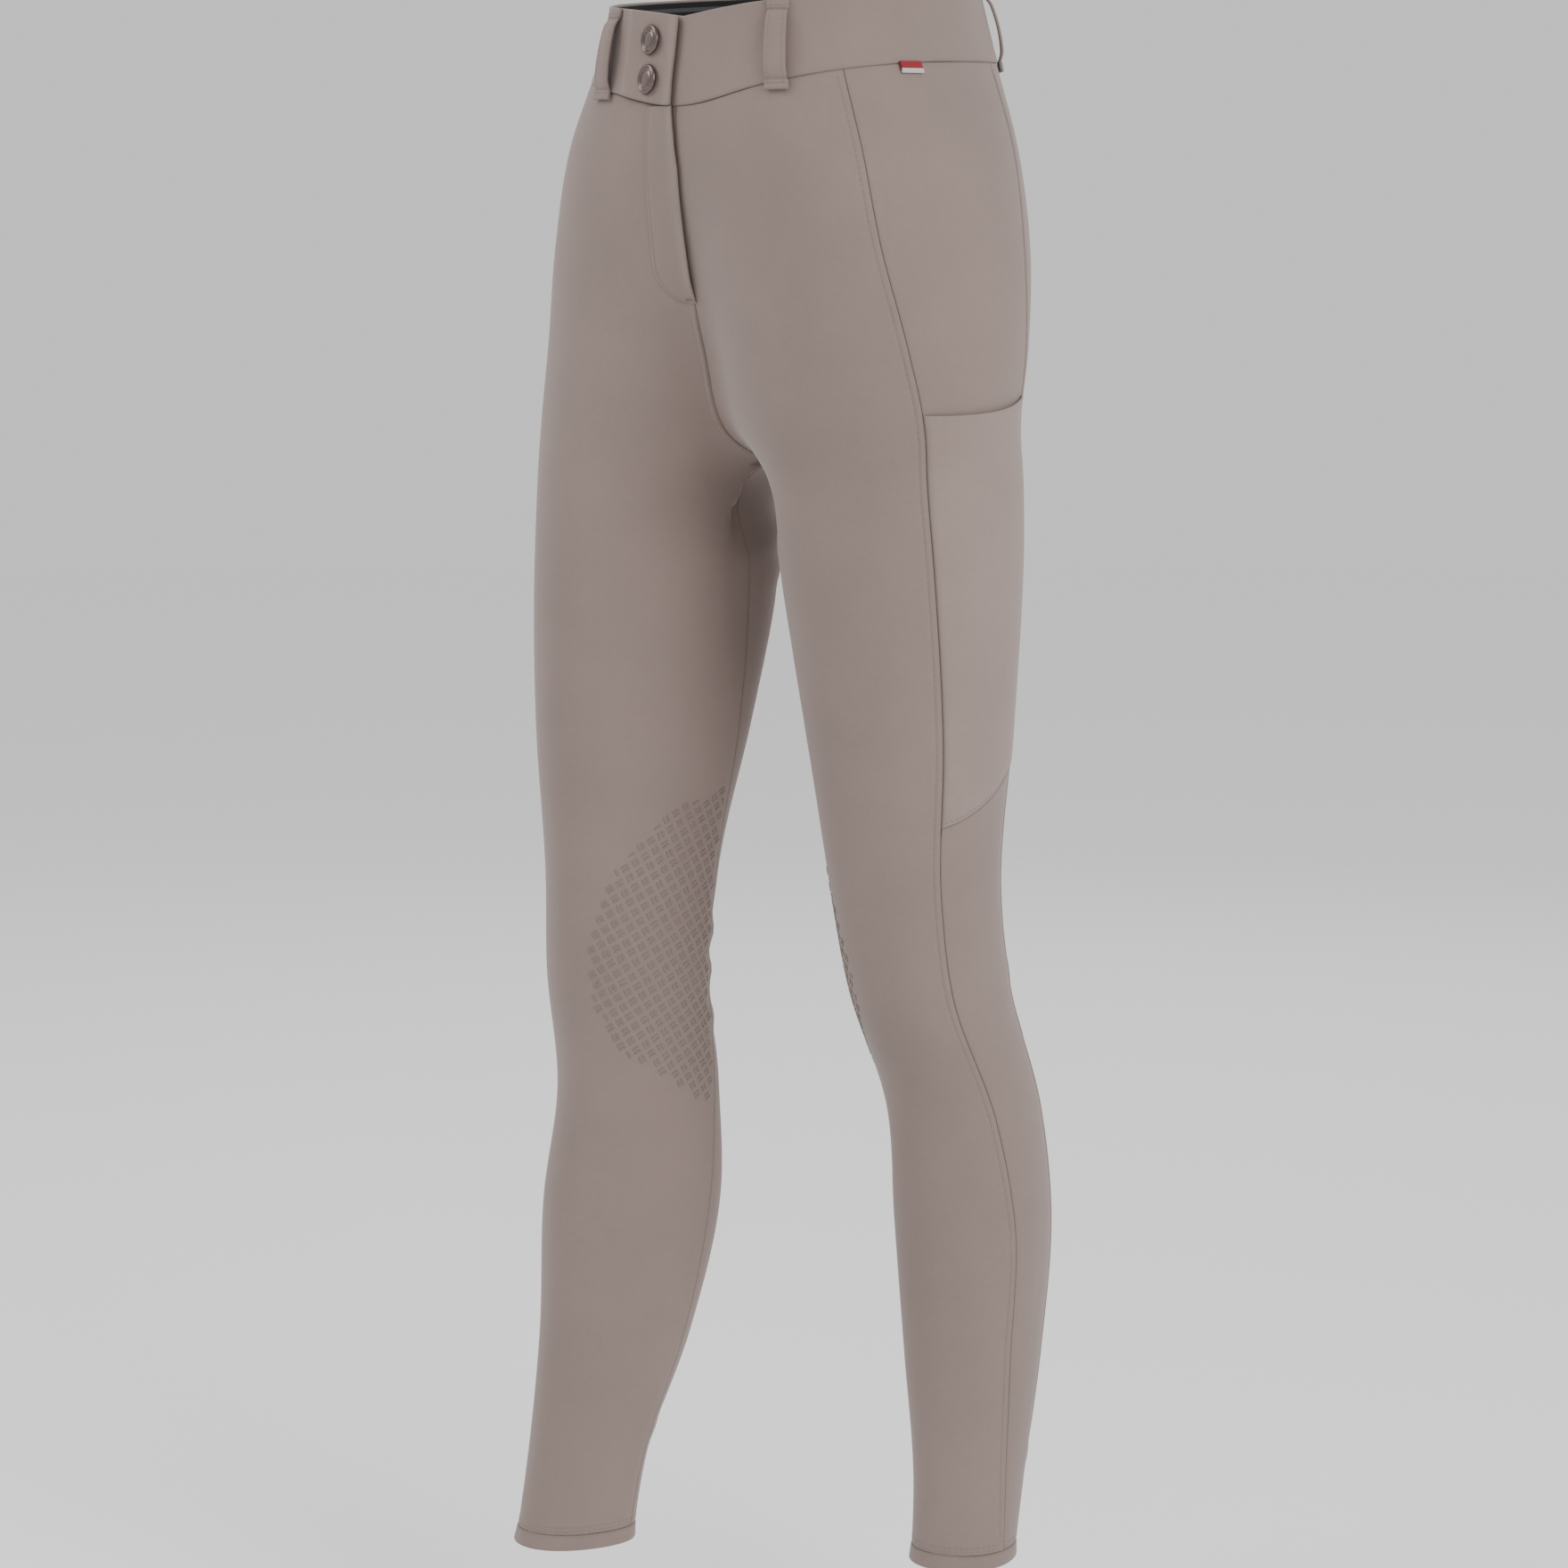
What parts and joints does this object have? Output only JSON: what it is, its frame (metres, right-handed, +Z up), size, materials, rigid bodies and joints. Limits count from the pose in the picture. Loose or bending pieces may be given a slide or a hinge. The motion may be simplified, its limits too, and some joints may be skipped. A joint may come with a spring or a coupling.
{
  "type": "riding breeches",
  "caption": "Slim full-length riding breeches in taupe stretch cloth, empty and standing as if worn in mid stride, with a two-button waistband, fly, belt loops and side pockets.",
  "frame": {"origin": "middle of the waist opening, level with the waistband's top edge at the centre front, where the wearer's waist holds it", "axes": "+Z up along the body, -Y the front, +X the wearer's left"},
  "size_m": [0.3468, 0.2676, 0.9945],
  "materials": {
    "cloth": "matt taupe stretch cloth with a fine weave",
    "pocket_cloth": "matt taupe stretch cloth, smooth single layer",
    "band_lining": "black elastic lining tape with a grey gripper stripe",
    "button": "satin taupe press-button cap",
    "tape": "plain red woven tape with pale edges"
  },
  "bodies": {
    "root": {"front_left": "cloth", "front_right": "cloth", "side_left": "cloth", "side_right": "cloth", "back_left": "cloth", "back_right": "cloth", "pocket_left": "pocket_cloth", "pocket_right": "pocket_cloth", "hem_left": "cloth", "hem_right": "cloth", "waistband": "cloth", "waistband_facing": "band_lining", "fly": "cloth", "loop_front_left": "cloth", "loop_front_right": "cloth", "loop_back_left": "cloth", "loop_back_right": "cloth", "button_upper": "button", "button_lower": "button", "side_tape": "tape"}
  },
  "joints": []
}
